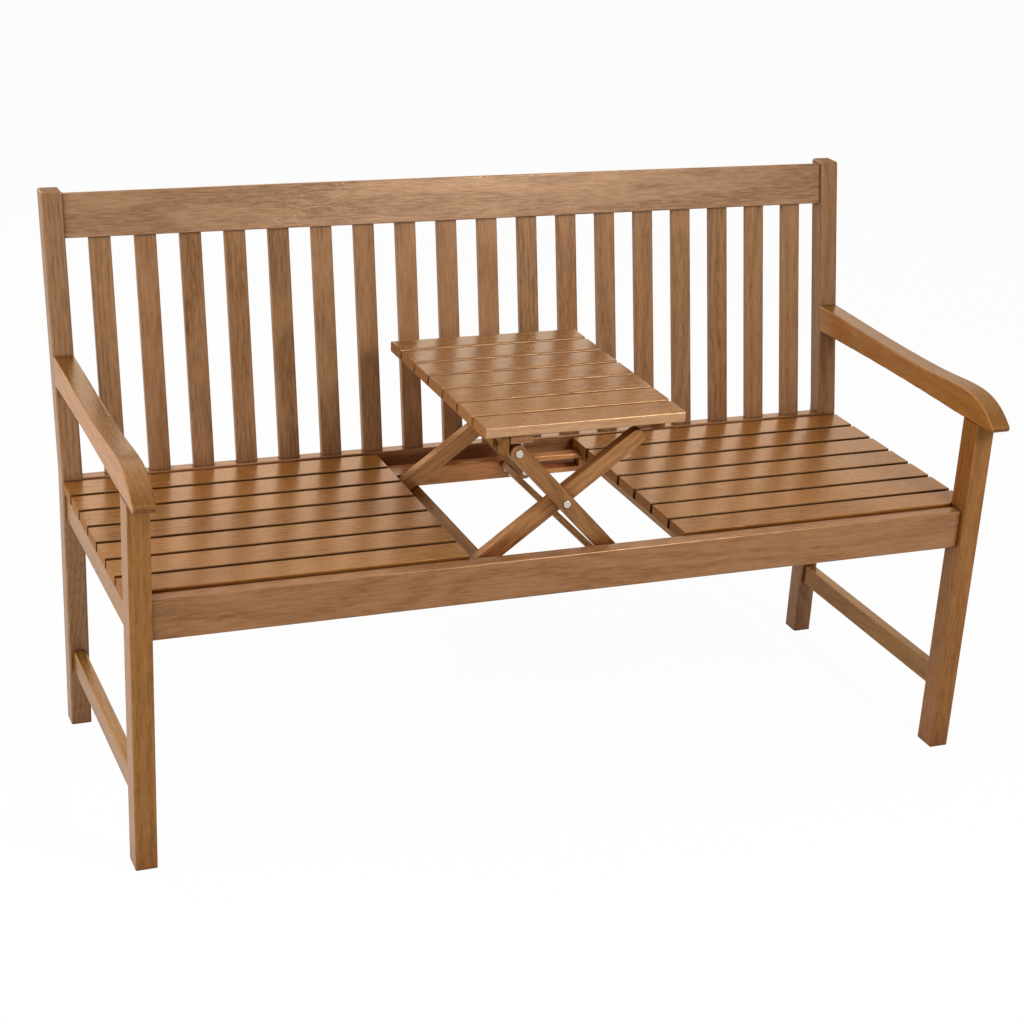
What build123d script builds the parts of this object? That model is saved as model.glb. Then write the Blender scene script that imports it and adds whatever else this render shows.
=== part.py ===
from build123d import *
from math import cos, radians, sin
import os

# Wooden garden bench with two seats and a slatted table that folds up between them on scissor arms.
# Millimetres. x runs along the bench, y from the front faces of the front legs to the back, z up.
# The table is drawn raised. Left and right are as seen by someone standing in front of the bench.

# Frame
BENCH_WIDTH = 1500
LEG_WIDTH = 35.5
LEG_DEPTH = 45.5
LEG_TOP = 622.5
SEAT_TOP = 464
SLAT_THICKNESS = 18
BOARD_EDGE = 3
LEG_EDGE = 2.5
THIN_EDGE = 2
SEAT_SLAT_EDGE = 1.5

# Back posts: upright below the seat, then raked, with an eased bend and rounded edges
POST_FRONT = 518
POST_DEPTH = 40
POST_TOP = 935.5
POST_FRONT_KINK = SEAT_TOP
POST_REAR_KINK = 472
POST_BEND_RADIUS = 120
POST_EDGE = 4
RAKE = 11.624

# Rails
FRONT_RAIL_Y = (12, 39)
FRONT_RAIL_Z = (391.7, 459.5)
REAR_RAIL_Y = (523, 547)
REAR_RAIL_Z = (399, 465.5)
SIDE_RAIL_X = (723, 745)
SIDE_RAIL_BOTTOM = 396
STRETCHER_X = (721.5, 742.5)
STRETCHER_Z = (106, 144)
CREST_FRONT_BOTTOM = (606, 859.5)
CREST_HEIGHT = 74
CREST_CROWN = 1.5
CREST_THICKNESS = 22

# Back slats
BACK_SLAT_COUNT = 18
BACK_SLAT_WIDTH = 36.5
BACK_SLAT_THICKNESS = 13
BACK_SLAT_SETBACK = 5

# Armrests
ARMREST_WIDTH = 36
ARMREST_REAR_TOP = 671
ARMREST_CROWN = [(400, 667), (250, 665.3), (140, 668), (68, 671.6), (18, 666.6), (-16, 652.5), (-39, 634.5)]
ARMREST_NOSE = (-43, 627.5)
ARMREST_NOSE_FOOT = -38
ARMREST_FLAT_END = 80
ARMREST_HOLLOW = (300, 625.5)

# Seat and table slats lie on one pitch, so the gaps line up when the table is folded
SLAT_COUNT = 7
SLAT_FIRST_REAR = 98
SLAT_FIRST_FRONT = 42
SLAT_WIDTH = 61.6
SLAT_GAP = 8
SEAT_X = (191.5, 749)
LEG_NOTCH_PLAY = 1
TABLE_X = (-173.5, 174.5)
TABLE_TOP = 677
TABLE_REAR = 506

# Bearers and well between the seats
BEARER_X = (236, 258)
BEARER_BOTTOM = 396
TIE_X = (191.5, 231.5)
TIE_THICKNESS = 9
LEFT_TIE_Y = (72, 450)
RIGHT_TIE_Y = (46.5, 475)
CROSS_RAIL_Y = (478.5, 501.5)
CROSS_RAIL_BOTTOM = 411
REST_STRIP_X = (-146, 215)
REST_STRIP_DEPTH = 4.5
REST_STRIP_HEIGHT = 8
SLOT_X = (64, 190)
SLOT_HEIGHT = 15.5
SLOT_BLIND_DEPTH = 12
BLOCK_X = (-236, -146)
BLOCK_BOTTOM = 394
BLOCK_FACE = 69.4

# Scissor arms. Support arms turn on the bench, slider arms hang on the table and slide in the slots.
ARM_WIDTH = 28
ARM_EDGE = 1.5
SUPPORT_PIVOT = Vector(-192, 410)
SUPPORT_TILT = 36.3
SUPPORT_TO_CROSSING = 208.3
SUPPORT_PAST_CROSSING = 160
SLIDER_TILT = 46.9
SLIDER_TO_TABLE = 129.3
SLIDER_TO_PIN = 143.2
FRONT_SLIDER_Y = (47, 66)
FRONT_SUPPORT_Y = (70.2, 89.2)
MECHANISM_MIDDLE = 260.85
ARM_BATTEN_WIDTH = 30
ARM_BATTEN_THICKNESS = 10.5
SLIDER_BATTEN_START = 108
SUPPORT_BATTEN_START = 154

# Table underside
LEFT_BATTEN_X = (-141, -129)
LEFT_BATTEN_Y = (50, 471.7)
LEFT_BATTEN_DEPTH = 32
LEFT_BATTEN_NOTCH_Y = (68.5, 91)
LEFT_BATTEN_NOTCH_TOP = 16
RIGHT_BATTEN_X = (143, 165)
RIGHT_BATTEN_Y = (93, 428.7)
RIGHT_BATTEN_DEPTH = 28
PAD_X = (-128, -90)
PAD_Y = (48, 66.8)
PAD_THICKNESS = 14
PLATE_Y = (66.8, 69.3)
PLATE_HALF_WIDTH = 14
PLATE_TAB_REAR = 92

# Bolts
BOLT_RADIUS = 4
RUNNING_CLEARANCE = 0.05
SIDE_PLAY = 0.3
HEAD_RADIUS = 6.5
HEAD_THICKNESS = 2.5
NUT_THICKNESS = 4
WASHER_RADIUS = 9
RIVET_THICKNESS = 0.3
BLOCK_BOLT_DEPTH = 24
FRONT_PIN_TIP = 30

inner_x = BENCH_WIDTH / 2 - LEG_WIDTH
seat_bottom = SEAT_TOP - SLAT_THICKNESS
table_bottom = TABLE_TOP - SLAT_THICKNESS
rake_up = Vector(sin(radians(RAKE)), cos(radians(RAKE)))
rake_back = Vector(cos(radians(RAKE)), -sin(radians(RAKE)))
support_way = Vector(cos(radians(SUPPORT_TILT)), sin(radians(SUPPORT_TILT)))
slider_way = Vector(cos(radians(SLIDER_TILT)), -sin(radians(SLIDER_TILT)))
crossing = SUPPORT_PIVOT + support_way * SUPPORT_TO_CROSSING
support_end = crossing + support_way * SUPPORT_PAST_CROSSING
table_pivot = crossing - slider_way * SLIDER_TO_TABLE
slide_pin = crossing + slider_way * SLIDER_TO_PIN
slot_z = (slide_pin.Y - SLOT_HEIGHT / 2, slide_pin.Y + SLOT_HEIGHT / 2)
nodes = {}


def board(x, y, z, edge=0, along=Axis.X):
    """A straight board between its limits on the three axes, with its long edges rounded."""
    limits = (x, y, z)
    middle = [(low + high) / 2 for low, high in limits]
    size = [high - low for low, high in limits]
    blank = Pos(*middle) * Box(*size)
    if edge == 0:
        return blank
    return fillet(blank.edges().filter_by(along), edge)


def prism_along_x(outline, x):
    """Extrude an outline drawn in y and z between two places along the bench."""
    return extrude(Plane.YZ.offset(x[0]) * outline, amount=x[1] - x[0])


def prism_along_y(outline, y):
    """Extrude an outline drawn in x and z from its front face back to its rear face."""
    return extrude(Plane.XZ.offset(-y[0]) * outline, amount=y[0] - y[1])


def rod(centre, radius, y):
    """A round bar across the bench, centred on a point in x and z."""
    return prism_along_y(Pos(*centre) * Circle(radius), y)


def mirrored_y(y):
    """The matching pair of limits at the rear of the scissor mechanism."""
    return (2 * MECHANISM_MIDDLE - y[1], 2 * MECHANISM_MIDDLE - y[0])


def to_rear(shape):
    """The rear twin of a piece of the front scissor pair."""
    return mirror(shape, Plane.XZ.offset(-MECHANISM_MIDDLE))


def add_pair(name, right_shape):
    """Keep a piece of the right end and its mirror image at the left end."""
    nodes[name + "_right"] = right_shape
    nodes[name + "_left"] = mirror(right_shape, Plane.YZ)


def post_front_at(z):
    """Depth of the raked front face of the back posts at a height."""
    return POST_FRONT + (z - POST_FRONT_KINK) * rake_up.X / rake_up.Y


def add_legs_and_posts():
    half_width = BENCH_WIDTH / 2
    leg_x = (inner_x, half_width)
    add_pair("front_leg", board(leg_x, (0, LEG_DEPTH), (0, LEG_TOP), LEG_EDGE, Axis.Z))
    post_rear = POST_FRONT + POST_DEPTH
    rear_top = post_rear + (POST_TOP - POST_REAR_KINK) * rake_up.X / rake_up.Y
    outline = make_face(Polyline(
        (POST_FRONT, 0),
        (post_rear, 0),
        (post_rear, POST_REAR_KINK),
        (rear_top, POST_TOP),
        (post_front_at(POST_TOP), POST_TOP),
        (POST_FRONT, POST_FRONT_KINK),
        close=True,
    ))
    bends = [corner for corner in outline.vertices() if 0 < corner.Y < POST_TOP]
    post = prism_along_x(fillet(bends, POST_BEND_RADIUS), leg_x)
    sides = post.faces().filter_by(Axis.X)
    rims = [edge for face in sides for edge in face.edges() if edge.center().Z > POST_EDGE]
    top_face = post.faces().sort_by(Axis.Z)[-1]
    across_top = top_face.edges().filter_by(Axis.X)
    add_pair("back_post", fillet(rims + list(across_top), POST_EDGE))


def add_armrests():
    rear_top = (post_front_at(ARMREST_REAR_TOP), ARMREST_REAR_TOP)
    rear_foot = (post_front_at(LEG_TOP), LEG_TOP)
    nose_foot = (ARMREST_NOSE_FOOT, LEG_TOP)
    flat_end = (ARMREST_FLAT_END, LEG_TOP)
    crown = Spline(rear_top, *ARMREST_CROWN)
    nose = ThreePointArc(ARMREST_CROWN[-1], ARMREST_NOSE, nose_foot)
    over_leg = Line(nose_foot, flat_end)
    hollow = ThreePointArc(flat_end, ARMREST_HOLLOW, rear_foot)
    rear_cut = Line(rear_foot, rear_top)
    outline = make_face([crown, nose, over_leg, hollow, rear_cut])
    half_width = BENCH_WIDTH / 2
    blank = prism_along_x(outline, (half_width - ARMREST_WIDTH, half_width))
    sides = blank.faces().filter_by(Axis.X)
    upper = [edge for face in sides for edge in face.edges() if edge.center().Z > LEG_TOP + BOARD_EDGE]
    crown_edges = [edge for edge in upper if edge.center().Y < rear_foot[0]]
    add_pair("armrest", fillet(crown_edges, BOARD_EDGE))


def add_rails():
    between = (-inner_x, inner_x)
    side_y = (LEG_DEPTH, POST_FRONT)
    front_rail = board(between, FRONT_RAIL_Y, FRONT_RAIL_Z, BOARD_EDGE)
    slot_y = (FRONT_RAIL_Y[1] - SLOT_BLIND_DEPTH, FRONT_RAIL_Y[1])
    nodes["front_rail"] = front_rail - board(SLOT_X, slot_y, slot_z)
    nodes["rear_rail"] = board(between, REAR_RAIL_Y, REAR_RAIL_Z, THIN_EDGE)
    add_pair("seat_side_rail", board(SIDE_RAIL_X, side_y, (SIDE_RAIL_BOTTOM, seat_bottom), THIN_EDGE, Axis.Y))
    add_pair("low_stretcher", board(STRETCHER_X, side_y, STRETCHER_Z, BOARD_EDGE, Axis.Y))


def add_crest_rail():
    """The top rail of the back, lying in the rake of the posts, with a slightly crowned top edge."""
    front = Plane((0, *CREST_FRONT_BOTTOM), (1, 0, 0), (0, -rake_back.X, -rake_back.Y))
    foot = Line((-inner_x, 0), (inner_x, 0))
    right_end = Line((inner_x, 0), (inner_x, CREST_HEIGHT))
    crown = ThreePointArc((inner_x, CREST_HEIGHT), (0, CREST_HEIGHT + CREST_CROWN), (-inner_x, CREST_HEIGHT))
    left_end = Line((-inner_x, CREST_HEIGHT), (-inner_x, 0))
    outline = make_face([foot, right_end, crown, left_end])
    crest = extrude(front * outline, amount=-CREST_THICKNESS)
    long_edges = [edge for edge in crest.edges() if edge.length > BENCH_WIDTH / 2]
    nodes["crest_rail"] = fillet(long_edges, THIN_EDGE)


def add_back_slats():
    """Slats stand on the rear rail and run up to the raked underside of the crest rail."""
    front_top = Vector(*CREST_FRONT_BOTTOM) + rake_back * BACK_SLAT_SETBACK
    rear_top = front_top + rake_back * BACK_SLAT_THICKNESS
    front_foot = front_top - rake_up * ((front_top.Y - REAR_RAIL_Z[1]) / rake_up.Y)
    rear_foot = rear_top - rake_up * ((rear_top.Y - REAR_RAIL_Z[1]) / rake_up.Y)
    outline = make_face(Polyline(front_top, rear_top, rear_foot, front_foot, close=True))
    half = BACK_SLAT_WIDTH / 2
    blank = prism_along_x(outline, (-half, half))
    long_way = Axis((0, 0, 0), (0, rake_up.X, rake_up.Y))
    slat = fillet(blank.edges().filter_by(long_way), THIN_EDGE)
    gap = (2 * inner_x - BACK_SLAT_COUNT * BACK_SLAT_WIDTH) / (BACK_SLAT_COUNT + 1)
    first = -inner_x + gap + half
    places = [first + index * (BACK_SLAT_WIDTH + gap) for index in range(BACK_SLAT_COUNT)]
    nodes["back_slats"] = Compound([Pos(place, 0, 0) * slat for place in places])


def slat_depths(last_rear=None):
    """Front and rear limits of each slat of a seat or of the table."""
    depths = [(SLAT_FIRST_FRONT, SLAT_FIRST_REAR)]
    for index in range(1, SLAT_COUNT):
        front = depths[-1][1] + SLAT_GAP
        depths.append((front, front + SLAT_WIDTH))
    if last_rear is not None:
        depths[-1] = (depths[-1][0], last_rear)
    return depths


def add_seats():
    """Seat slats overhang the side rails, and the first is notched round the front leg."""
    seat_z = (seat_bottom, SEAT_TOP)
    notch = board((inner_x - LEG_NOTCH_PLAY, BENCH_WIDTH), (0, LEG_DEPTH + LEG_NOTCH_PLAY), seat_z)
    for number, depth in enumerate(slat_depths(), start=1):
        slat = board(SEAT_X, depth, seat_z, SEAT_SLAT_EDGE)
        if number == 1:
            slat = slat - notch
        add_pair(f"seat_slat_{number}", slat)


def add_well():
    """Bearers under the inner slat ends, and what carries the folding table between them."""
    bearer_y = (FRONT_RAIL_Y[1], REAR_RAIL_Y[0])
    add_pair("seat_bearer", board(BEARER_X, bearer_y, (BEARER_BOTTOM, seat_bottom), THIN_EDGE, Axis.Y))
    tie_z = (seat_bottom - TIE_THICKNESS, seat_bottom)
    left_tie_x = (-TIE_X[1], -TIE_X[0])
    nodes["slat_tie_right"] = board(TIE_X, RIGHT_TIE_Y, tie_z)
    nodes["slat_tie_left"] = board(left_tie_x, LEFT_TIE_Y, tie_z)
    cross_x = (-BEARER_X[0], BEARER_X[0])
    cross_rail = board(cross_x, CROSS_RAIL_Y, (CROSS_RAIL_BOTTOM, seat_bottom), THIN_EDGE)
    nodes["table_rear_rail"] = cross_rail - board(SLOT_X, CROSS_RAIL_Y, slot_z)
    strip_y = (FRONT_RAIL_Y[1], FRONT_RAIL_Y[1] + REST_STRIP_DEPTH)
    nodes["table_front_strip"] = board(REST_STRIP_X, strip_y, (seat_bottom - REST_STRIP_HEIGHT, seat_bottom))


def add_pivot_blocks():
    """Blocks at the left of the well, each drilled for a support arm's bolt."""
    block_z = (BLOCK_BOTTOM, seat_bottom)
    front_y = (FRONT_RAIL_Y[1], BLOCK_FACE)
    rear_y = (mirrored_y(front_y)[0], CROSS_RAIL_Y[0])
    hole = rod(SUPPORT_PIVOT, BOLT_RADIUS + RUNNING_CLEARANCE, (BLOCK_FACE - BLOCK_BOLT_DEPTH, BLOCK_FACE))
    nodes["pivot_block_front"] = board(BLOCK_X, front_y, block_z, THIN_EDGE, Axis.Y) - hole
    nodes["pivot_block_rear"] = board(BLOCK_X, rear_y, block_z, THIN_EDGE, Axis.Y) - to_rear(hole)


def scissor_arm(start, end, holes, y):
    """A flat arm with round ends between two points, bored for its bolts."""
    reach = end - start
    tilt = Vector(1, 0).get_signed_angle(reach, Vector(0, 0, 1))
    middle = (start + end) / 2
    outline = Pos(*middle) * Rot(0, 0, tilt) * SlotCenterToCenter(reach.length, ARM_WIDTH)
    arm = prism_along_y(outline, y)
    rims = [edge for face in arm.faces().filter_by(Axis.Y) for edge in face.edges()]
    arm = fillet(rims, ARM_EDGE)
    for hole in holes:
        arm = arm - rod(hole, BOLT_RADIUS + RUNNING_CLEARANCE, y)
    return arm


def arm_batten(start, way, below, y):
    """A batten screwed under a pair of arms, square to them."""
    inner = start + below * (ARM_WIDTH / 2)
    outer = inner + below * ARM_BATTEN_THICKNESS
    along = way * ARM_BATTEN_WIDTH
    outline = make_face(Polyline(inner, inner + along, outer + along, outer, close=True))
    return prism_along_y(outline, y)


def add_scissor_arms():
    support = scissor_arm(SUPPORT_PIVOT, support_end, [SUPPORT_PIVOT, crossing], FRONT_SUPPORT_Y)
    slider = scissor_arm(table_pivot, slide_pin, [table_pivot, crossing, slide_pin], FRONT_SLIDER_Y)
    nodes["support_arm_front"] = support
    nodes["support_arm_rear"] = to_rear(support)
    nodes["slider_arm_front"] = slider
    nodes["slider_arm_rear"] = to_rear(slider)
    support_below = Vector(support_way.Y, -support_way.X)
    slider_below = Vector(slider_way.Y, -slider_way.X)
    support_start = crossing - support_way * SUPPORT_BATTEN_START
    slider_start = crossing + slider_way * SLIDER_BATTEN_START
    support_y = (FRONT_SUPPORT_Y[0], mirrored_y(FRONT_SUPPORT_Y)[1])
    slider_y = (FRONT_SLIDER_Y[0], mirrored_y(FRONT_SLIDER_Y)[1])
    nodes["support_arm_batten"] = arm_batten(support_start, -support_way, support_below, support_y)
    nodes["slider_arm_batten"] = arm_batten(slider_start, slider_way, slider_below, slider_y)


def hanger_plate():
    """An angle plate: a rounded tongue down to the pivot and a tab under the slat."""
    tongue = Pos(*table_pivot) * Circle(PLATE_HALF_WIDTH)
    rise = table_bottom - table_pivot.Y
    tongue = tongue + Pos(table_pivot.X, table_pivot.Y + rise / 2) * Rectangle(2 * PLATE_HALF_WIDTH, rise)
    plate_x = (table_pivot.X - PLATE_HALF_WIDTH, table_pivot.X + PLATE_HALF_WIDTH)
    thickness = PLATE_Y[1] - PLATE_Y[0]
    tab = board(plate_x, (PLATE_Y[0], PLATE_TAB_REAR), (table_bottom - thickness, table_bottom))
    hole = rod(table_pivot, BOLT_RADIUS + RUNNING_CLEARANCE, PLATE_Y)
    return prism_along_y(tongue, PLATE_Y) + tab - hole


def add_table():
    table_z = (table_bottom, TABLE_TOP)
    for number, depth in enumerate(slat_depths(TABLE_REAR), start=1):
        nodes[f"table_slat_{number}"] = board(TABLE_X, depth, table_z, BOARD_EDGE)
    left_z = (table_bottom - LEFT_BATTEN_DEPTH, table_bottom)
    notch_z = (left_z[0], table_bottom - LEFT_BATTEN_NOTCH_TOP)
    notch = board(LEFT_BATTEN_X, LEFT_BATTEN_NOTCH_Y, notch_z)
    nodes["table_batten_left"] = board(LEFT_BATTEN_X, LEFT_BATTEN_Y, left_z) - notch - to_rear(notch)
    right_z = (table_bottom - RIGHT_BATTEN_DEPTH, table_bottom)
    nodes["table_batten_right"] = board(RIGHT_BATTEN_X, RIGHT_BATTEN_Y, right_z, THIN_EDGE, Axis.Y)
    pad = board(PAD_X, PAD_Y, (table_bottom - PAD_THICKNESS, table_bottom))
    nodes["hinge_pads"] = Compound([pad, to_rear(pad)])
    plate = hanger_plate()
    nodes["hanger_plates"] = Compound([plate, to_rear(plate)])


def headed_bolt(centre, shank_y, head_y):
    """A bolt with a low round head, its rim eased on the outer side."""
    head = rod(centre, HEAD_RADIUS, head_y)
    outer_face = head.faces().sort_by(Axis.Y)[0 if head_y[0] < shank_y[0] else -1]
    return fillet(outer_face.edges(), HEAD_THICKNESS / 2) + rod(centre, BOLT_RADIUS, shank_y)


def add_bolts():
    """Pivot bolts, slide pins and spacer washers of the front pair, with their rear twins."""
    slider_front, slider_rear = FRONT_SLIDER_Y
    support_front, support_rear = FRONT_SUPPORT_Y
    pivot_head = support_rear + SIDE_PLAY
    pivot = headed_bolt(
        SUPPORT_PIVOT,
        (BLOCK_FACE - BLOCK_BOLT_DEPTH, pivot_head),
        (pivot_head, pivot_head + HEAD_THICKNESS),
    )
    nut_y = (support_rear + SIDE_PLAY, support_rear + SIDE_PLAY + NUT_THICKNESS)
    nut = prism_along_y(Pos(*crossing) * RegularPolygon(HEAD_RADIUS, 6), nut_y)
    crossing_bolt = nut + headed_bolt(
        crossing,
        (slider_front, nut_y[1]),
        (slider_front - HEAD_THICKNESS, slider_front),
    )
    washer_y = (slider_rear, support_front - SIDE_PLAY)
    washer = rod(crossing, WASHER_RADIUS, washer_y)
    washer = washer - rod(crossing, BOLT_RADIUS + RUNNING_CLEARANCE, washer_y)
    table_head = slider_front - SIDE_PLAY
    table_bolt = headed_bolt(
        table_pivot,
        (table_head, PLATE_Y[1]),
        (table_head - HEAD_THICKNESS, table_head),
    )
    table_bolt = table_bolt + rod(table_pivot, HEAD_RADIUS, (PLATE_Y[1], PLATE_Y[1] + RIVET_THICKNESS))
    pin = headed_bolt(
        slide_pin,
        (FRONT_PIN_TIP, slider_rear),
        (slider_rear, slider_rear + HEAD_THICKNESS),
    )
    sets = {
        "support_pivot_bolts": [pivot],
        "crossing_bolts": [crossing_bolt],
        "crossing_washers": [washer],
        "table_pivot_bolts": [table_bolt],
        "slide_pins": [pin],
    }
    for name, front in sets.items():
        nodes[name] = Compound(front + [to_rear(shape) for shape in front])


def export_nodes():
    """Write each piece with the origin on the ground below the middle of the bench."""
    os.makedirs("parts", exist_ok=True)
    middle = Compound(list(nodes.values())).bounding_box().center()
    for name, shape in nodes.items():
        export_step(Pos(0, -middle.Y, 0) * shape, f"parts/{name}.step")
    print(f"{len(nodes)} nodes, origin {middle.Y:.3f} behind the front legs")
    for label, point in (("support pivot", SUPPORT_PIVOT), ("crossing", crossing), ("table pivot", table_pivot)):
        print(f"{label} at x {point.X:.3f}, z {point.Y:.3f}")


add_legs_and_posts()
add_armrests()
add_rails()
add_crest_rail()
add_back_slats()
add_seats()
add_well()
add_pivot_blocks()
add_scissor_arms()
add_table()
add_bolts()
export_nodes()
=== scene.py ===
from math import cos, radians, sin

import bpy
from mathutils import Matrix, Vector


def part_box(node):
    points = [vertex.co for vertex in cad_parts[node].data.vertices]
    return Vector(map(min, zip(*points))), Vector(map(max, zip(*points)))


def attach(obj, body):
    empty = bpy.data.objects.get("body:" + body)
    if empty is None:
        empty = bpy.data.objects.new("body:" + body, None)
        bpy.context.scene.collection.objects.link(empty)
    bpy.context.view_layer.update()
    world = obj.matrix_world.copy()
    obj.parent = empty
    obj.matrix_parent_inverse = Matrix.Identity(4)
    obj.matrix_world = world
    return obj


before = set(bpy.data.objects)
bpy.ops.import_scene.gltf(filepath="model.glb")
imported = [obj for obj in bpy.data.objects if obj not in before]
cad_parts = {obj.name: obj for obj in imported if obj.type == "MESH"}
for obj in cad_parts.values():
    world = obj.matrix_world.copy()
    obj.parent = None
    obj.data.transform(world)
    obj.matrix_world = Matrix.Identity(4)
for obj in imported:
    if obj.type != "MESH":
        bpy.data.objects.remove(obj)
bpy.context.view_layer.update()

# Sizes in metres, angles in degrees

# Camera, measured from the front faces of the front legs
CAMERA_LENS = 74.40
CAMERA_SENSOR = 36.0
CAMERA_SHIFT = (-0.0142, 0.0911)
CAMERA_PLACE = Vector((-1.34213, -2.85985, 1.79069))
CAMERA_YAW = 23.386
CAMERA_PITCH = -24.299
CAMERA_ROLL = 3.335

WHITE = (1.0, 1.0, 1.0)

# Light: the even light, what the gloss shows of the room and the backdrop, and the floor
AMBIENT = 0.43
AMBIENT_HUE = (1.14, 0.89, 0.74)
BACKGROUND = 1.0
ROOM_SHEEN = 0.45
BACKDROP_SHEEN = 1.9
BACKDROP_DEPTH = (-0.2, 0.4)
BACKDROP_SIDE = (0.46, 0.58)
BACKDROP_DIM = 0.30
SHEEN_WARMTH = (1.0, 0.90, 0.77)
COOL_LAMP = (0.95, 1.03, 1.13)
# Each softbox has a place, a size, a power in watts, a hue, and whether it shows in the gloss
SOFTBOXES = {
    "right_front_softbox": ((0.95, -1.70, 1.8), 0.6, 30.0, COOL_LAMP, True),
    "left_front_softbox": ((-2.0, -2.2, 2.2), 0.9, 14.0, COOL_LAMP, True),
    "left_side_softbox": ((-2.4, -1.2, 2.2), 0.9, 13.0, COOL_LAMP, True),
    "left_low_softbox": ((-2.8, -0.4, 0.9), 1.4, 36.0, WHITE, False),
    "top_softbox": ((0.0, -0.4, 2.8), 1.6, 3.0, WHITE, True),
    "left_rear_softbox": ((-1.9, 2.4, 1.5), 1.2, 22.0, WHITE, False),
}
LIGHT_TARGET = (0.0, 0.0, 0.45)
FLOOR_SIZE = 40.0
FLOOR_DROP = 0.0005
FLOOR_WHITE = 0.95
FLOOR_BOUNCE = 0.5
FLOOR_GLOW = 0.96
FLOOR_SHEEN = 0.45

# How the boards lie
RAKE = 11.624
SUPPORT_TILT = 36.3
SLIDER_TILT = -46.9
SLAT_PITCH = 0.0696
SLAT_GAP = 0.008
BACK_SLAT_PITCH = 0.07713
BACK_SLATS_PER_SIDE = 9
X_WAY = Vector((1.0, 0.0, 0.0))
Y_WAY = Vector((0.0, 1.0, 0.0))
Z_WAY = Vector((0.0, 0.0, 1.0))

# Turns that bring the grain from X to the board's own way
TURN_TO_X = (0.0, 0.0, 0.0)
TURN_TO_Y = (0.0, 0.0, -90.0)
TURN_UPRIGHT = (0.0, 90.0, 0.0)
TURN_RAKED = (RAKE, 90.0, 0.0)

# Cells that tell the boards of one material apart, each with a start and a step
FAR_START = -10.0
WHOLE_BENCH = 20.0
SLAT_CELL_START = (-0.57, -0.2)
SLAT_CELL_LENGTH = 0.38
SLAT_CELL_HEIGHT = 10.0
RAIL_CELL_FRONT = -0.305
RAIL_CELL_DEPTH = 0.2
RAIL_CELL_HEIGHT = 0.31
CROSS_CELL_START = (-1.0, FAR_START, 0.0)
CROSS_CELL = (0.05, WHOLE_BENCH, 0.29)
SIDE_CELL_START = (-2.0, FAR_START, FAR_START)
SIDE_CELL = (2.0, WHOLE_BENCH, WHOLE_BENCH)
ARM_CELL_START = (FAR_START, -0.05, FAR_START)
ARM_CELL = (WHOLE_BENCH, 0.2, WHOLE_BENCH)

# Oiled hardwood: its colours, and casts that tint a board, a face or the cut ends, many of them painted
# light, painted shade or painted sheen
WOOD_DEEP = (0.138, 0.050, 0.009)
WOOD_BODY = (0.312, 0.134, 0.030)
WOOD_PALE = (0.465, 0.228, 0.060)
TABLE_SLAT_CAST = (0.86, 0.88, 0.90)
# Painted shade: the two rear table slats are darkened for the shade and the dimmer reflection at the back
# of the table
TABLE_REAR_PAINTED_SHADE = (0.72, 0.74, 0.72)
# Painted highlight: the paler front faces of the table slats stand in for the lamp's glint along their
# front edges
TABLE_LINE_PAINTED_HIGHLIGHT = (1.0, 1.18, 1.90)
# Painted light: the paler front face of the table's front slat, where the front lamp falls strongest
TABLE_EDGE_PAINTED_LIGHT = (1.46, 2.00, 4.30)
# Painted sheen: the back slats, long rails and crest rail are paler and bluer, standing in for a neutral
# sheen on their front faces
BACK_SLAT_PAINTED_SHEEN = (0.95, 1.16, 2.30)
RAIL_PAINTED_SHEEN = (0.95, 1.07, 1.95)
CREST_PAINTED_SHEEN = (1.13, 1.57, 3.75)
# Painted light: the rail in the well under the table is brightened
WELL_RAIL_PAINTED_LIGHT = (1.78, 1.88, 2.80)
# Painted shade: the armrests are darkened, mostly for their tops; painted light: their left-facing sides
# are paler
ARMREST_PAINTED_SHADE = (0.66, 0.68, 0.72)
ARMREST_SIDE_PAINTED_LIGHT = (1.14, 1.14, 1.05)
DEPTH_CAST = (0.90, 0.95, 0.90)
LEG_CAST = (0.91, 0.92, 1.0)
# Painted sheen: the raked posts are bluer, as with the rails
POST_PAINTED_SHEEN = (0.86, 1.07, 2.20)
# Painted light: the support arms are brightened, where the front lamp falls strongest near the table
SUPPORT_ARM_PAINTED_LIGHT = (1.22, 1.30, 1.90)
# Painted shade and painted sheen: the slider arms are darker and bluer
SLIDER_ARM_PAINTED_SHADE_AND_SHEEN = (0.90, 0.98, 1.40)
END_CAST = (0.85, 0.80, 0.75)
# Painted light: the table slats' cut ends are paler than other cut ends, where the left lamps fall on them
TABLE_END_PAINTED_LIGHT = (1.20, 1.26, 1.80)
END_FACING = (0.80, 0.95)
PAINTED_LIGHT_FACING = (0.5, 0.9)

# Oil, and painted shade in joints, in nooks and along the edges of the seat gaps
WOOD_GLEAM = 0.20
OIL_TINT = (1.0, 0.80, 0.58)
OIL_SPECULAR = 0.5
OIL_INDEX = 1.5
OIL_ROUGHNESS = 0.17
FIBRE_ROUGHNESS = 0.14
PORE_ROUGHNESS = 0.10
END_ROUGHNESS = 0.40
OPENNESS_SAMPLES = 6
JOINT_SHADE = 0.34
JOINT_REACH = 0.006
JOINT_OPENNESS = (0.42, 0.95)
NOOK_SHADE = (0.66, 0.42, 0.33)
NOOK_REACH = 0.14
NOOK_OPENNESS = (0.15, 0.85)
PAINTED_GAP_SHADE = 0.30
PAINTED_GAP_WIDTH = 0.0024

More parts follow.
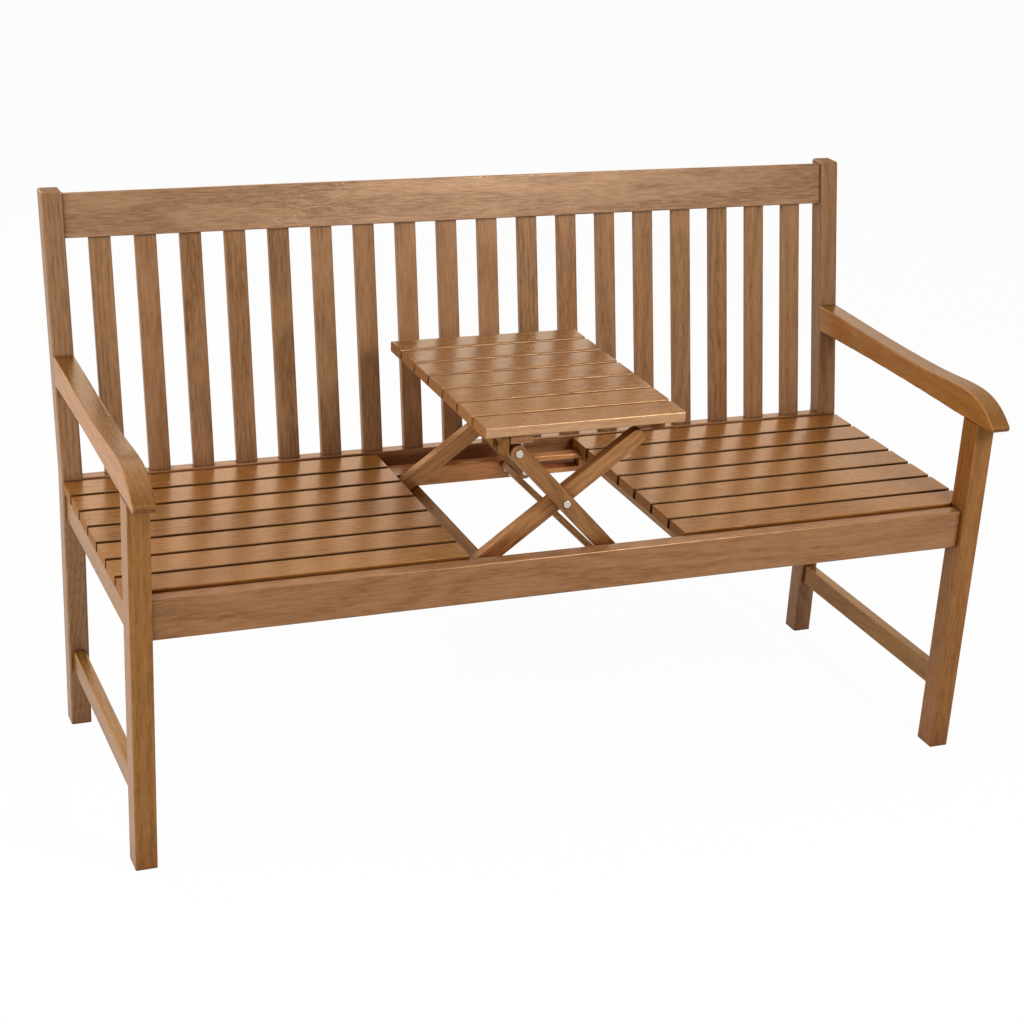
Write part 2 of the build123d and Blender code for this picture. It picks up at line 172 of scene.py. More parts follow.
# Figure of the wood: each noise has its counts per metre along and across the grain, detail and roughness
BOARD_SPREAD = (7.0, 3.0, 3.0)
PITH_SPREAD = (0.0, 6.9, 3.2)
ACROSS_GRAIN = (0.0, 1.0, 1.0)
DRIFT_NOISE = ((1.6, 9.0, 9.0), 2.0, 0.5)
RING_DRIFT = 0.055
RING_RATE = 720.0
RING_RANGE = (-0.9, 1.0)
TONE_NOISE = ((1.2, 48.0, 48.0), 3.0, 0.55)
FLECK_NOISE = ((34.0, 320.0, 320.0), 2.0, 0.6)
FLECK_RANGE = (0.30, 0.70)
FIBRE_NOISE = ((14.0, 700.0, 700.0), 3.0, 0.6)
PORE_NOISE = ((95.0, 1500.0, 1500.0), 1.0, 0.5)
PORE_RANGE = (0.60, 0.70)

# Shares of the figure in the tone, where the deep, body and pale colours stand in it, and the relief
MIDDLE_CHANCE = 0.5
TONE_SHARE = 0.13
TONE_BASE = 0.035
RING_SHARE = 0.12
FLECK_SHARE = 0.22
FIBRE_SHARE = 0.36
BOARD_SHARE = 0.20
DEEP_STOP = 0.12
BODY_STOP = 0.45
PALE_STOP = 1.0
RUDDY_SHARE = 0.20
RUDDY_TINT = (0.90, 0.62, 0.52)
PORE_SHARE = 0.38
PORE_TINT = (0.45, 0.36, 0.30)
PORE_DEPTH = 0.6
BUMP_STRENGTH = 0.22
BUMP_DISTANCE = 0.0004

# Zinc-plated steel
STEEL_DULL = (0.66, 0.60, 0.51)
STEEL_BRIGHT = (0.90, 0.83, 0.71)
STEEL_MARK_COUNT = 900.0
STEEL_MARK_DETAIL = 3.0
STEEL_MARK_GRIT = 0.5
STEEL_MARK_RANGE = (0.2, 0.8)
STEEL_ROUGHNESS = (0.24, 0.40)

# Pan-head screws under the table, the slat ties, the arm battens and the hanger plates
SCREW_RADIUS = 0.0036
SCREW_HEIGHT = 0.0015
SCREW_CROWN = 0.74
SCREW_SIDES = 20
RECESS_LENGTH = 0.0036
RECESS_WIDTH = 0.0010
RECESS_DEPTH = 0.0009
SCREWED_SLATS = range(2, 7)
ARM_SCREW_SPREAD = 0.0075
ARM_BATTEN_THICKNESS = 0.0105
PLATE_THICKNESS = 0.0025
PLATE_SCREW_INSET = 0.0152
PLATE_SCREW_SPREAD = 0.0075


def new_group(name, inputs, outputs):
    """An empty shader node group with named sockets, and its two end nodes."""
    group = bpy.data.node_groups.new(name, "ShaderNodeTree")
    for label, kind, value in inputs:
        socket = group.interface.new_socket(label, in_out="INPUT", socket_type=kind)
        if value is not None:
            socket.default_value = value
    for label, kind in outputs:
        group.interface.new_socket(label, in_out="OUTPUT", socket_type=kind)
    return group, group.nodes.new("NodeGroupInput"), group.nodes.new("NodeGroupOutput")


def math_node(tree, operation, first, second=None, clamp=False):
    node = tree.nodes.new("ShaderNodeMath")
    node.operation = operation
    node.use_clamp = clamp
    for socket, value in zip(node.inputs, (first, second)):
        if value is None:
            continue
        if isinstance(value, (int, float)):
            socket.default_value = value
        else:
            tree.links.new(value, socket)
    return node.outputs[0]


def vector_node(tree, operation, first, second=None):
    node = tree.nodes.new("ShaderNodeVectorMath")
    node.operation = operation
    for socket, value in zip(node.inputs, (first, second)):
        if value is None:
            continue
        if isinstance(value, (tuple, Vector)):
            socket.default_value = value
        else:
            tree.links.new(value, socket)
    return node.outputs["Value"] if operation in ("DOT_PRODUCT", "LENGTH") else node.outputs["Vector"]


def noise_node(tree, vector, scale, detail, roughness):
    node = tree.nodes.new("ShaderNodeTexNoise")
    node.inputs["Scale"].default_value = scale
    node.inputs["Detail"].default_value = detail
    node.inputs["Roughness"].default_value = roughness
    tree.links.new(vector, node.inputs["Vector"])
    return node.outputs["Fac"]


def stretched_noise(tree, place, counts, detail, roughness):
    """Noise with its own count of specks per metre along X, Y and Z."""
    return noise_node(tree, vector_node(tree, "MULTIPLY", place, counts), 1.0, detail, roughness)


def range_node(tree, value, low, high, to_low=0.0, to_high=1.0):
    node = tree.nodes.new("ShaderNodeMapRange")
    node.interpolation_type = "SMOOTHSTEP"
    node.inputs["From Min"].default_value = low
    node.inputs["From Max"].default_value = high
    node.inputs["To Min"].default_value = to_low
    node.inputs["To Max"].default_value = to_high
    tree.links.new(value, node.inputs["Value"])
    return node.outputs["Result"]


def mix_colours(tree, factor, first, second, blend="MIX"):
    node = tree.nodes.new("ShaderNodeMix")
    node.data_type = "RGBA"
    node.blend_type = blend
    for socket, value in zip((node.inputs[0], node.inputs[6], node.inputs[7]), (factor, first, second)):
        if isinstance(value, (int, float)):
            socket.default_value = value
        elif isinstance(value, tuple):
            socket.default_value = value if len(value) == 4 else (*value, 1.0)
        else:
            tree.links.new(value, socket)
    return node.outputs[2]


def mix_values(tree, factor, first, second):
    node = tree.nodes.new("ShaderNodeMix")
    node.data_type = "FLOAT"
    for socket, value in zip((node.inputs[0], node.inputs[2], node.inputs[3]), (factor, first, second)):
        if isinstance(value, (int, float)):
            socket.default_value = value
        else:
            tree.links.new(value, socket)
    return node.outputs[0]


def make_board_lottery():
    """Which board a point belongs to, as three chance numbers that stay the same all over that board."""
    group, ends_in, ends_out = new_group(
        "board_lottery",
        [(label, "NodeSocketVector", None) for label in ("Place", "First", "Step")],
        [("Chances", "NodeSocketVector")],
    )
    shifted = vector_node(group, "SUBTRACT", ends_in.outputs["Place"], ends_in.outputs["First"])
    counted = vector_node(group, "DIVIDE", shifted, ends_in.outputs["Step"])
    number = vector_node(group, "FLOOR", counted)
    lottery = group.nodes.new("ShaderNodeTexWhiteNoise")
    lottery.noise_dimensions = "3D"
    group.links.new(number, lottery.inputs["Vector"])
    group.links.new(lottery.outputs["Color"], ends_out.inputs["Chances"])
    return group


def make_wood_figure():
    """Growth rings, fibres and pores of a hardwood board whose grain runs along X."""
    group, ends_in, ends_out = new_group(
        "wood_figure",
        [("Place", "NodeSocketVector", None), ("Chances", "NodeSocketVector", None)],
        [("Colour", "NodeSocketColor"), ("Roughness", "NodeSocketFloat"), ("Height", "NodeSocketFloat")],
    )
    chances = group.nodes.new("ShaderNodeSeparateXYZ")
    group.links.new(ends_in.outputs["Chances"], chances.inputs[0])
    board_offset = vector_node(group, "MULTIPLY", ends_in.outputs["Chances"], BOARD_SPREAD)
    place = vector_node(group, "ADD", ends_in.outputs["Place"], board_offset)

    drift = stretched_noise(group, place, *DRIFT_NOISE)
    across = vector_node(group, "MULTIPLY", place, ACROSS_GRAIN)
    pith = vector_node(group, "MULTIPLY", ends_in.outputs["Chances"], PITH_SPREAD)
    radius = vector_node(group, "LENGTH", vector_node(group, "SUBTRACT", across, pith))
    wander = math_node(group, "MULTIPLY", drift, RING_DRIFT)
    ring_phase = math_node(group, "MULTIPLY", math_node(group, "ADD", radius, wander), RING_RATE)
    ring_band = range_node(group, math_node(group, "SINE", ring_phase), *RING_RANGE)

    tone = stretched_noise(group, place, *TONE_NOISE)
    fleck = range_node(group, stretched_noise(group, place, *FLECK_NOISE), *FLECK_RANGE)
    fibre = stretched_noise(group, place, *FIBRE_NOISE)
    pores = range_node(group, stretched_noise(group, place, *PORE_NOISE), *PORE_RANGE)

    tone_part = math_node(group, "ADD", math_node(group, "MULTIPLY", tone, TONE_SHARE), TONE_BASE)
    ring_part = math_node(group, "MULTIPLY", ring_band, RING_SHARE)
    fleck_part = math_node(group, "MULTIPLY", fleck, FLECK_SHARE)
    fibre_part = math_node(group, "MULTIPLY", fibre, FIBRE_SHARE)
    board_chance = math_node(group, "SUBTRACT", chances.outputs[0], MIDDLE_CHANCE)
    board_part = math_node(group, "MULTIPLY", board_chance, BOARD_SHARE)
    figure = math_node(group, "ADD", tone_part, ring_part)
    for part in (fibre_part, fleck_part, board_part):
        figure = math_node(group, "ADD", figure, part)

    ramp = group.nodes.new("ShaderNodeValToRGB")
    stops = ramp.color_ramp.elements
    stops[0].position = DEEP_STOP
    stops[0].color = (*WOOD_DEEP, 1.0)
    stops[1].position = PALE_STOP
    stops[1].color = (*WOOD_PALE, 1.0)
    stops.new(BODY_STOP).color = (*WOOD_BODY, 1.0)
    group.links.new(figure, ramp.inputs["Fac"])

    ruddy = math_node(group, "MULTIPLY", chances.outputs[1], RUDDY_SHARE)
    colour = mix_colours(group, ruddy, ramp.outputs["Color"], RUDDY_TINT, "MULTIPLY")
    pore_shade = math_node(group, "MULTIPLY", pores, PORE_SHARE)
    colour = mix_colours(group, pore_shade, colour, PORE_TINT, "MULTIPLY")
    group.links.new(colour, ends_out.inputs["Colour"])

    fibre_sheen = math_node(group, "MULTIPLY", fibre, FIBRE_ROUGHNESS)
    oil_sheen = math_node(group, "ADD", fibre_sheen, OIL_ROUGHNESS)
    pore_sheen = math_node(group, "MULTIPLY", pores, PORE_ROUGHNESS)
    group.links.new(math_node(group, "ADD", oil_sheen, pore_sheen), ends_out.inputs["Roughness"])

    height = math_node(group, "SUBTRACT", fibre, math_node(group, "MULTIPLY", pores, PORE_DEPTH))
    group.links.new(height, ends_out.inputs["Height"])
    return group


board_lottery = make_board_lottery()
wood_figure = make_wood_figure()


def place_group(tree, group):
    node = tree.nodes.new("ShaderNodeGroup")
    node.node_tree = group
    return node


def openness(tree, reach):
    """How much of the way outward is free of other pieces within a reach."""
    node = tree.nodes.new("ShaderNodeAmbientOcclusion")
    node.samples = OPENNESS_SAMPLES
    node.inputs["Distance"].default_value = reach
    return node.outputs["AO"]


def painted_gap_shade(tree, place, first_gap, gap_width):
    """Painted shade along the edges of the slats, on both sides of each gap."""
    depth = vector_node(tree, "DOT_PRODUCT", place, Y_WAY)
    from_gap = math_node(tree, "SUBTRACT", depth, first_gap - SLAT_PITCH / 2)
    in_pitch = math_node(tree, "FLOORED_MODULO", from_gap, SLAT_PITCH)
    distance = math_node(tree, "ABSOLUTE", math_node(tree, "SUBTRACT", in_pitch, SLAT_PITCH / 2))
    half = gap_width / 2
    return range_node(tree, distance, half, half + PAINTED_GAP_WIDTH, PAINTED_GAP_SHADE, 1.0)


def hardwood(
    name, turn, grain, first, step, cast=WHITE, painted_light_way=None, painted_light_cast=None, gaps=None, end_cast=END_CAST
):
    """Oiled hardwood with its grain along the board; casts for the board, a face and the cut ends, which
    carry painted light, shade and sheen; and painted shade in joints, nooks and gaps.
    """
    material = bpy.data.materials.new(name)
    material.use_nodes = True
    tree = material.node_tree
    shader = tree.nodes["Principled BSDF"]
    shader.inputs["Metallic"].default_value = WOOD_GLEAM
    shader.inputs["Specular IOR Level"].default_value = OIL_SPECULAR
    shader.inputs["Specular Tint"].default_value = (*OIL_TINT, 1.0)
    shader.inputs["IOR"].default_value = OIL_INDEX

    coordinate = tree.nodes.new("ShaderNodeTexCoord")
    turned = tree.nodes.new("ShaderNodeMapping")
    turned.inputs["Rotation"].default_value = [radians(angle) for angle in turn]
    tree.links.new(coordinate.outputs["Object"], turned.inputs["Vector"])

    lottery = place_group(tree, board_lottery)
    lottery.inputs["First"].default_value = first
    lottery.inputs["Step"].default_value = step
    tree.links.new(coordinate.outputs["Object"], lottery.inputs["Place"])

    figure = place_group(tree, wood_figure)
    tree.links.new(turned.outputs["Vector"], figure.inputs["Place"])
    tree.links.new(lottery.outputs["Chances"], figure.inputs["Chances"])

    along_grain = vector_node(tree, "DOT_PRODUCT", coordinate.outputs["Normal"], grain)
    cut_end = range_node(tree, math_node(tree, "ABSOLUTE", along_grain), *END_FACING)
    tint = mix_colours(tree, cut_end, WHITE, end_cast)
    tint = mix_colours(tree, 1.0, tint, cast, "MULTIPLY")
    # Painted light: one face of the board is tinted paler by which way it faces
    if painted_light_way:
        looking = vector_node(tree, "DOT_PRODUCT", coordinate.outputs["Normal"], painted_light_way)
        tint = mix_colours(tree, range_node(tree, looking, *PAINTED_LIGHT_FACING), tint, painted_light_cast)
    # Painted shade: darker within a short reach of other pieces, and darker and redder in nooks
    joint_shade = range_node(tree, openness(tree, JOINT_REACH), *JOINT_OPENNESS, JOINT_SHADE, 1.0)
    open_share = range_node(tree, openness(tree, NOOK_REACH), *NOOK_OPENNESS)
    shades = [tint, joint_shade, mix_colours(tree, open_share, NOOK_SHADE, WHITE)]
    # Painted shade along the edges of each seat gap
    if gaps:
        shades.append(painted_gap_shade(tree, coordinate.outputs["Object"], *gaps))
    colour = figure.outputs["Colour"]
    for shade in shades:
        colour = mix_colours(tree, 1.0, colour, shade, "MULTIPLY")
    tree.links.new(colour, shader.inputs["Base Color"])
    end_roughness = math_node(tree, "MULTIPLY", cut_end, END_ROUGHNESS)
    roughness = math_node(tree, "ADD", figure.outputs["Roughness"], end_roughness)
    tree.links.new(roughness, shader.inputs["Roughness"])

    bump = tree.nodes.new("ShaderNodeBump")
    bump.inputs["Strength"].default_value = BUMP_STRENGTH
    bump.inputs["Distance"].default_value = BUMP_DISTANCE
    tree.links.new(figure.outputs["Height"], bump.inputs["Height"])
    tree.links.new(bump.outputs["Normal"], shader.inputs["Normal"])
    return material


def zinc_steel(name):
    """Bright zinc plating with faint drawn marks."""
    material = bpy.data.materials.new(name)
    material.use_nodes = True
    tree = material.node_tree
    shader = tree.nodes["Principled BSDF"]
    shader.inputs["Metallic"].default_value = 1.0
    coordinate = tree.nodes.new("ShaderNodeTexCoord")
    place = coordinate.outputs["Object"]
    marks = noise_node(tree, place, STEEL_MARK_COUNT, STEEL_MARK_DETAIL, STEEL_MARK_GRIT)
    colour = mix_colours(tree, marks, STEEL_DULL, STEEL_BRIGHT)
    tree.links.new(colour, shader.inputs["Base Color"])
    roughness = range_node(tree, marks, *STEEL_MARK_RANGE, *STEEL_ROUGHNESS)
    tree.links.new(roughness, shader.inputs["Roughness"])
    return material


def along_rake(rake_degrees):
    """The way along a raked board."""
    return Vector((0.0, sin(radians(rake_degrees)), cos(radians(rake_degrees))))


def along_arm(tilt_degrees):
    """The way along a scissor arm."""
    return Vector((cos(radians(tilt_degrees)), 0.0, sin(radians(tilt_degrees))))


second_slat_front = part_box("seat_slat_2_left")[0].y
slat_left, slat_base = SLAT_CELL_START
slat_first = Vector((slat_left, second_slat_front - SLAT_PITCH - SLAT_GAP / 2, slat_base))
slat_boards = (TURN_TO_X, X_WAY, slat_first, (SLAT_CELL_LENGTH, SLAT_PITCH, SLAT_CELL_HEIGHT))
gap_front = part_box("seat_slat_3_left")[1].y
gap_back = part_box("seat_slat_4_left")[0].y
seat_gaps = ((gap_front + gap_back) / 2, gap_back - gap_front)
wood_slats = hardwood("wood_seat_slats", *slat_boards, gaps=seat_gaps)
# Table slats with a painted highlight on their front faces
wood_table = hardwood(
    "wood_table_slats", *slat_boards, TABLE_SLAT_CAST, -Y_WAY, TABLE_LINE_PAINTED_HIGHLIGHT, end_cast=TABLE_END_PAINTED_LIGHT
)
# The table's front slat, with painted light on its front face
wood_table_edge = hardwood(
    "wood_table_front_slat", *slat_boards, TABLE_SLAT_CAST, -Y_WAY, TABLE_EDGE_PAINTED_LIGHT, end_cast=TABLE_END_PAINTED_LIGHT
)
# The two rear table slats, darkened with painted shade
wood_table_rear = hardwood(
    "wood_table_rear_slats", *slat_boards, TABLE_REAR_PAINTED_SHADE, -Y_WAY, TABLE_LINE_PAINTED_HIGHLIGHT, end_cast=TABLE_END_PAINTED_LIGHT
)
rail_first = (FAR_START, RAIL_CELL_FRONT, FAR_START)
rail_boards = (TURN_TO_X, X_WAY, rail_first, (WHOLE_BENCH, RAIL_CELL_DEPTH, RAIL_CELL_HEIGHT))
# The rails, crest rail, posts and back slats carry painted sheen
wood_rails = hardwood("wood_long_rails", *rail_boards, RAIL_PAINTED_SHEEN)
wood_crest = hardwood("wood_crest_rail", *rail_boards, CREST_PAINTED_SHEEN)
# The rail in the well, brightened with painted light
wood_well = hardwood("wood_well_rail", *rail_boards, WELL_RAIL_PAINTED_LIGHT)
depth_boards = (TURN_TO_Y, Y_WAY, CROSS_CELL_START, CROSS_CELL)
wood_depth = hardwood("wood_front_to_back", *depth_boards, DEPTH_CAST)
# Armrests with painted shade, and painted light on their left-facing sides
wood_armrest = hardwood("wood_armrests", *depth_boards, ARMREST_PAINTED_SHADE, -X_WAY, ARMREST_SIDE_PAINTED_LIGHT)
wood_upright = hardwood("wood_front_legs", TURN_UPRIGHT, Z_WAY, SIDE_CELL_START, SIDE_CELL, LEG_CAST)
wood_raked = hardwood(
    "wood_raked_posts", TURN_RAKED, along_rake(RAKE), SIDE_CELL_START, SIDE_CELL, POST_PAINTED_SHEEN
)
back_slat_first = (-BACK_SLATS_PER_SIDE * BACK_SLAT_PITCH, FAR_START, FAR_START)
back_slat_cell = (BACK_SLAT_PITCH, WHOLE_BENCH, WHOLE_BENCH)
wood_back = hardwood(
    "wood_back_slats", TURN_RAKED, along_rake(RAKE), back_slat_first, back_slat_cell, BACK_SLAT_PAINTED_SHEEN
)
# Support arms brightened with painted light
wood_support = hardwood(
    "wood_support_arms",
    (0.0, SUPPORT_TILT, 0.0),
    along_arm(SUPPORT_TILT),
    ARM_CELL_START,
    ARM_CELL,
    SUPPORT_ARM_PAINTED_LIGHT,
)
# Slider arms with painted shade and painted sheen
wood_slider = hardwood(
    "wood_slider_arms",
    (0.0, SLIDER_TILT, 0.0),
    along_arm(SLIDER_TILT),
    ARM_CELL_START,
    ARM_CELL,
    SLIDER_ARM_PAINTED_SHADE_AND_SHEEN,
)
steel = zinc_steel("zinc_steel")

WOOD_BY_START = [
    ("seat_slat_", wood_slats),
    ("table_slat_1", wood_table_edge),
    ("table_slat_6", wood_table_rear),
    ("table_slat_7", wood_table_rear),
    ("table_slat_", wood_table),
    ("front_rail", wood_rails),
    ("rear_rail", wood_rails),
    ("crest_rail", wood_crest),
    ("table_rear_rail", wood_well),
    ("table_front_strip", wood_rails),
    ("pivot_block_", wood_rails),
    ("hinge_pads", wood_rails),
    ("armrest_", wood_armrest),
    ("seat_side_rail_", wood_depth),
    ("low_stretcher_", wood_depth),
    ("seat_bearer_", wood_depth),
    ("slat_tie_", wood_depth),
    ("table_batten_", wood_depth),
    ("support_arm_batten", wood_depth),
    ("slider_arm_batten", wood_depth),
    ("front_leg_", wood_upright),
    ("back_post_", wood_raked),
    ("back_slats", wood_back),
    ("support_arm_", wood_support),
    ("slider_arm_", wood_slider),
]


def finish_for(name):
    for start, material in WOOD_BY_START:
        if name.startswith(start):
            return material
    return steel


def dress_nodes():
    for name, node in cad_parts.items():
        material = finish_for(name)
        node.data.materials.clear()
        node.data.materials.append(material)


def make_screw_tree():
    """A pan-head screw with a cross recess on every given place, turned the way the place faces."""
    tree = bpy.data.node_groups.new("pan_head_screws", "GeometryNodeTree")
    kinds = {
        "Places": "NodeSocketGeometry",
        "Head Radius": "NodeSocketFloat",
        "Head Height": "NodeSocketFloat",
        "Crown Radius": "NodeSocketFloat",
        "Recess Length": "NodeSocketFloat",
        "Recess Width": "NodeSocketFloat",
        "Recess Depth": "NodeSocketFloat",
        "Sides": "NodeSocketInt",
        "Finish": "NodeSocketMaterial",
    }
    sockets = {}
    for label, kind in kinds.items():
        sockets[label] = tree.interface.new_socket(label, in_out="INPUT", socket_type=kind)
    tree.interface.new_socket("Screws", in_out="OUTPUT", socket_type="NodeSocketGeometry")
    given = tree.nodes.new("NodeGroupInput").outputs
    link = tree.links.new

    head = tree.nodes.new("GeometryNodeMeshCone")
    link(given["Sides"], head.inputs["Vertices"])
    link(given["Head Radius"], head.inputs["Radius Bottom"])
    link(given["Crown Radius"], head.inputs["Radius Top"])
    link(given["Head Height"], head.inputs["Depth"])

    recess = tree.nodes.new("GeometryNodeMeshBoolean")
    recess.operation = "DIFFERENCE"
    recess.solver = "EXACT"
    link(head.outputs["Mesh"], recess.inputs["Mesh 1"])
    twice_deep = math_node(tree, "MULTIPLY", given["Recess Depth"], 2.0)
    for first, second in (("Recess Length", "Recess Width"), ("Recess Width", "Recess Length")):
        size = tree.nodes.new("ShaderNodeCombineXYZ")
        link(given[first], size.inputs["X"])
        link(given[second], size.inputs["Y"])
        link(twice_deep, size.inputs["Z"])
        bar = tree.nodes.new("GeometryNodeMeshCube")
        link(size.outputs["Vector"], bar.inputs["Size"])
        rise = tree.nodes.new("ShaderNodeCombineXYZ")
        link(given["Head Height"], rise.inputs["Z"])
        raised = tree.nodes.new("GeometryNodeTransform")
        link(bar.outputs["Mesh"], raised.inputs["Geometry"])
        link(rise.outputs["Vector"], raised.inputs["Translation"])
        link(raised.outputs["Geometry"], recess.inputs["Mesh 2"])

    facing = tree.nodes.new("GeometryNodeInputNamedAttribute")
    facing.data_type = "FLOAT_VECTOR"
    facing.inputs["Name"].default_value = "facing"
    turn = tree.nodes.new("FunctionNodeAlignRotationToVector")
    turn.axis = "Z"
    link(facing.outputs["Attribute"], turn.inputs["Vector"])
    screws = tree.nodes.new("GeometryNodeInstanceOnPoints")
    link(given["Places"], screws.inputs["Points"])
    link(recess.outputs["Mesh"], screws.inputs["Instance"])
    link(turn.outputs["Rotation"], screws.inputs["Rotation"])
    real = tree.nodes.new("GeometryNodeRealizeInstances")
    link(screws.outputs["Instances"], real.inputs["Geometry"])
    dressed = tree.nodes.new("GeometryNodeSetMaterial")
    link(real.outputs["Geometry"], dressed.inputs["Geometry"])
    link(given["Finish"], dressed.inputs["Material"])
    link(dressed.outputs["Geometry"], tree.nodes.new("NodeGroupOutput").inputs["Screws"])
    return tree, {label: socket.identifier for label, socket in sockets.items()}


screw_tree, screw_sockets = make_screw_tree()


def middle_of(node):
    low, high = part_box(node)
    return (low + high) / 2


def drive_screws(name, body, places):
    """One mesh of screws for a body, from pairs of a place and the way its screw faces."""
    mesh = bpy.data.meshes.new(name)
    mesh.from_pydata([place for place, way in places], [], [])
    facing = mesh.attributes.new("facing", "FLOAT_VECTOR", "POINT")
    facing.data.foreach_set("vector", [part for place, way in places for part in way])
    screws = bpy.data.objects.new(name, mesh)
    bpy.context.scene.collection.objects.link(screws)
    modifier = screws.modifiers.new("screws", "NODES")
    modifier.node_group = screw_tree
    sizes = {
        "Head Radius": SCREW_RADIUS,
        "Head Height": SCREW_HEIGHT,
        "Crown Radius": SCREW_RADIUS * SCREW_CROWN,
        "Recess Length": RECESS_LENGTH,
        "Recess Width": RECESS_WIDTH,
        "Recess Depth": RECESS_DEPTH,
        "Sides": SCREW_SIDES,
        "Finish": steel,
    }
    for label, value in sizes.items():
        modifier[screw_sockets[label]] = value
    evaluated = screws.evaluated_get(bpy.context.evaluated_depsgraph_get())
    finished = bpy.data.meshes.new_from_object(evaluated)
    screws.modifiers.clear()
    screws.data = finished
    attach(screws, body)


def screws_under(strip, slats):
    """Screws up through a strip, one under the middle of each slat."""
    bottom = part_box(strip)[0].z
    across = middle_of(strip).x
    return [(Vector((across, middle_of(slat).y, bottom)), -Z_WAY) for slat in slats]


def screws_through(batten, arms, tilt):
    """Two screws through a batten into each arm of a pair."""
    way = along_arm(tilt)
    below = Vector((sin(radians(tilt)), 0.0, -cos(radians(tilt))))
    face = middle_of(batten) + below * (ARM_BATTEN_THICKNESS / 2)
    places = []
    for arm in arms:
        for side in (-1, 1):
            place = face + way * (side * ARM_SCREW_SPREAD)
            place.y = middle_of(arm).y
            places.append((place, below))
    return places


def screws_in_plates():
    """Two screws through the tab of each hanger plate."""
    low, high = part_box("hanger_plates")
    bottom = high.z - PLATE_THICKNESS
    across = (low.x + high.x) / 2
    places = []
    for depth in (low.y + PLATE_SCREW_INSET, high.y - PLATE_SCREW_INSET):
        for side in (-1, 1):
            places.append((Vector((across + side * PLATE_SCREW_SPREAD, depth, bottom)), -Z_WAY))
    return places


def add_screws():
    table_slats = [f"table_slat_{number}" for number in SCREWED_SLATS]
    table_places = screws_under("table_batten_left", table_slats)
    table_places += screws_under("table_batten_right", table_slats)
    table_places += screws_in_plates()
    drive_screws("table_screws", "table", table_places)
    seat_places = []
    for side in ("left", "right"):
        seat_slats = [f"seat_slat_{number}_{side}" for number in SCREWED_SLATS]
        seat_places += screws_under(f"slat_tie_{side}", seat_slats)
    drive_screws("seat_screws", "bench", seat_places)
    for pair, tilt in (("support", SUPPORT_TILT), ("slider", SLIDER_TILT)):
        arms = [f"{pair}_arm_front", f"{pair}_arm_rear"]
        places = screws_through(f"{pair}_arm_batten", arms, tilt)
        drive_screws(f"{pair}_arm_screws", f"{pair}_arms", places)


def add_softbox(name, place, size, power, hue, in_gloss):
    light = bpy.data.lights.new(name, "AREA")
    light.shape = "SQUARE"
    light.size = size
    light.energy = power
    light.color = hue
    lamp = bpy.data.objects.new(name, light)
    lamp.location = place
    lamp.rotation_euler = (Vector(LIGHT_TARGET) - Vector(place)).to_track_quat("-Z", "Y").to_euler()
    lamp.visible_camera = False
    lamp.visible_glossy = in_gloss
    bpy.context.scene.collection.objects.link(lamp)


def seen_straight(tree, path):
    """Whether a ray comes from the camera, straight or through something clear."""
    return math_node(tree, "MAXIMUM", path.outputs["Is Camera Ray"], path.outputs["Is Transmission Ray"])


def light_the_scene():
    """White surroundings seen by the camera and in reflections, a dimmer even light and soft lamps."""
    world = bpy.data.worlds.new("studio")
    bpy.context.scene.world = world
    world.use_nodes = True
    tree = world.node_tree
    background = tree.nodes["Background"]
    path = tree.nodes.new("ShaderNodeLightPath")
    way = tree.nodes.new("ShaderNodeTexCoord")
    depth = vector_node(tree, "DOT_PRODUCT", way.outputs["Generated"], Y_WAY)
    sheen = range_node(tree, depth, *BACKDROP_DEPTH, ROOM_SHEEN, BACKDROP_SHEEN)
    sideways = vector_node(tree, "DOT_PRODUCT", way.outputs["Generated"], X_WAY)
    side_share = range_node(tree, sideways, *BACKDROP_SIDE, 1.0, BACKDROP_DIM)
    sheen = math_node(tree, "MULTIPLY", sheen, side_share)
    seen = seen_straight(tree, path)
    strength = mix_values(tree, path.outputs["Is Glossy Ray"], AMBIENT, sheen)
    strength = mix_values(tree, seen, strength, BACKGROUND)
    tree.links.new(strength, background.inputs["Strength"])
    hue = mix_colours(tree, path.outputs["Is Glossy Ray"], AMBIENT_HUE, SHEEN_WARMTH)
    tree.links.new(mix_colours(tree, seen, hue, WHITE), background.inputs["Color"])
    for name, settings in SOFTBOXES.items():
        add_softbox(name, *settings)


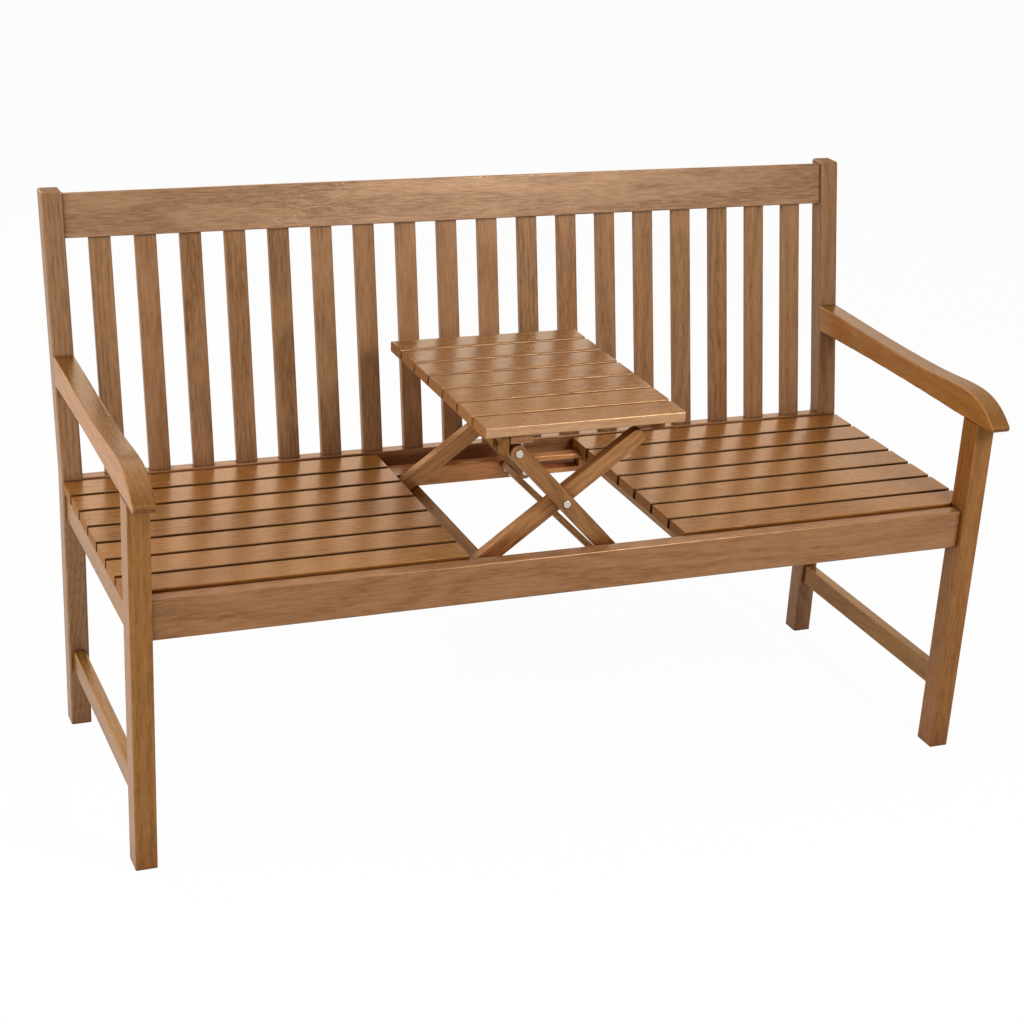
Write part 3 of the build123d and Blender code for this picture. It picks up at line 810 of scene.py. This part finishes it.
def lay_floor():
    half = FLOOR_SIZE / 2
    corners = [(x, y, -FLOOR_DROP) for x, y in ((-half, -half), (half, -half), (half, half), (-half, half))]
    mesh = bpy.data.meshes.new("floor")
    mesh.from_pydata(corners, [], [(0, 1, 2, 3)])
    floor = bpy.data.objects.new("floor", mesh)
    bpy.context.scene.collection.objects.link(floor)
    material = bpy.data.materials.new("white_floor")
    material.use_nodes = True
    tree = material.node_tree
    tree.nodes.remove(tree.nodes["Principled BSDF"])
    paint = tree.nodes.new("ShaderNodeBsdfDiffuse")
    glow = tree.nodes.new("ShaderNodeEmission")
    glow.inputs["Strength"].default_value = BACKGROUND
    path = tree.nodes.new("ShaderNodeLightPath")
    seen = seen_straight(tree, path)
    white = mix_values(tree, seen, FLOOR_BOUNCE, FLOOR_WHITE)
    tree.links.new(white, paint.inputs["Color"])
    sheen = math_node(tree, "MULTIPLY", path.outputs["Is Glossy Ray"], FLOOR_SHEEN)
    mix = tree.nodes.new("ShaderNodeMixShader")
    tree.links.new(mix_values(tree, seen, sheen, FLOOR_GLOW), mix.inputs["Fac"])
    tree.links.new(paint.outputs["BSDF"], mix.inputs[1])
    tree.links.new(glow.outputs["Emission"], mix.inputs[2])
    tree.links.new(mix.outputs["Shader"], tree.nodes["Material Output"].inputs["Surface"])
    mesh.materials.append(material)


def add_camera():
    yaw, pitch, roll = (radians(angle) for angle in (CAMERA_YAW, CAMERA_PITCH, CAMERA_ROLL))
    right = Vector((cos(yaw), -sin(yaw), 0.0))
    forward = Vector((sin(yaw) * cos(pitch), cos(yaw) * cos(pitch), sin(pitch)))
    up = right.cross(forward)
    rolled_right = right * cos(roll) + up * sin(roll)
    rolled_up = up * cos(roll) - right * sin(roll)
    data = bpy.data.cameras.new("camera")
    data.sensor_width = CAMERA_SENSOR
    data.lens = CAMERA_LENS
    data.shift_x, data.shift_y = CAMERA_SHIFT
    camera = bpy.data.objects.new("camera", data)
    leg_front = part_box("front_leg_left")[0][1]
    place = CAMERA_PLACE + Vector((0.0, leg_front, 0.0))
    turn = Matrix((rolled_right, rolled_up, -forward)).transposed()
    camera.matrix_world = Matrix.Translation(place) @ turn.to_4x4()
    bpy.context.scene.collection.objects.link(camera)
    bpy.context.scene.camera = camera


dress_nodes()
add_screws()
light_the_scene()
lay_floor()
add_camera()
bpy.context.scene.view_settings.view_transform = "Standard"
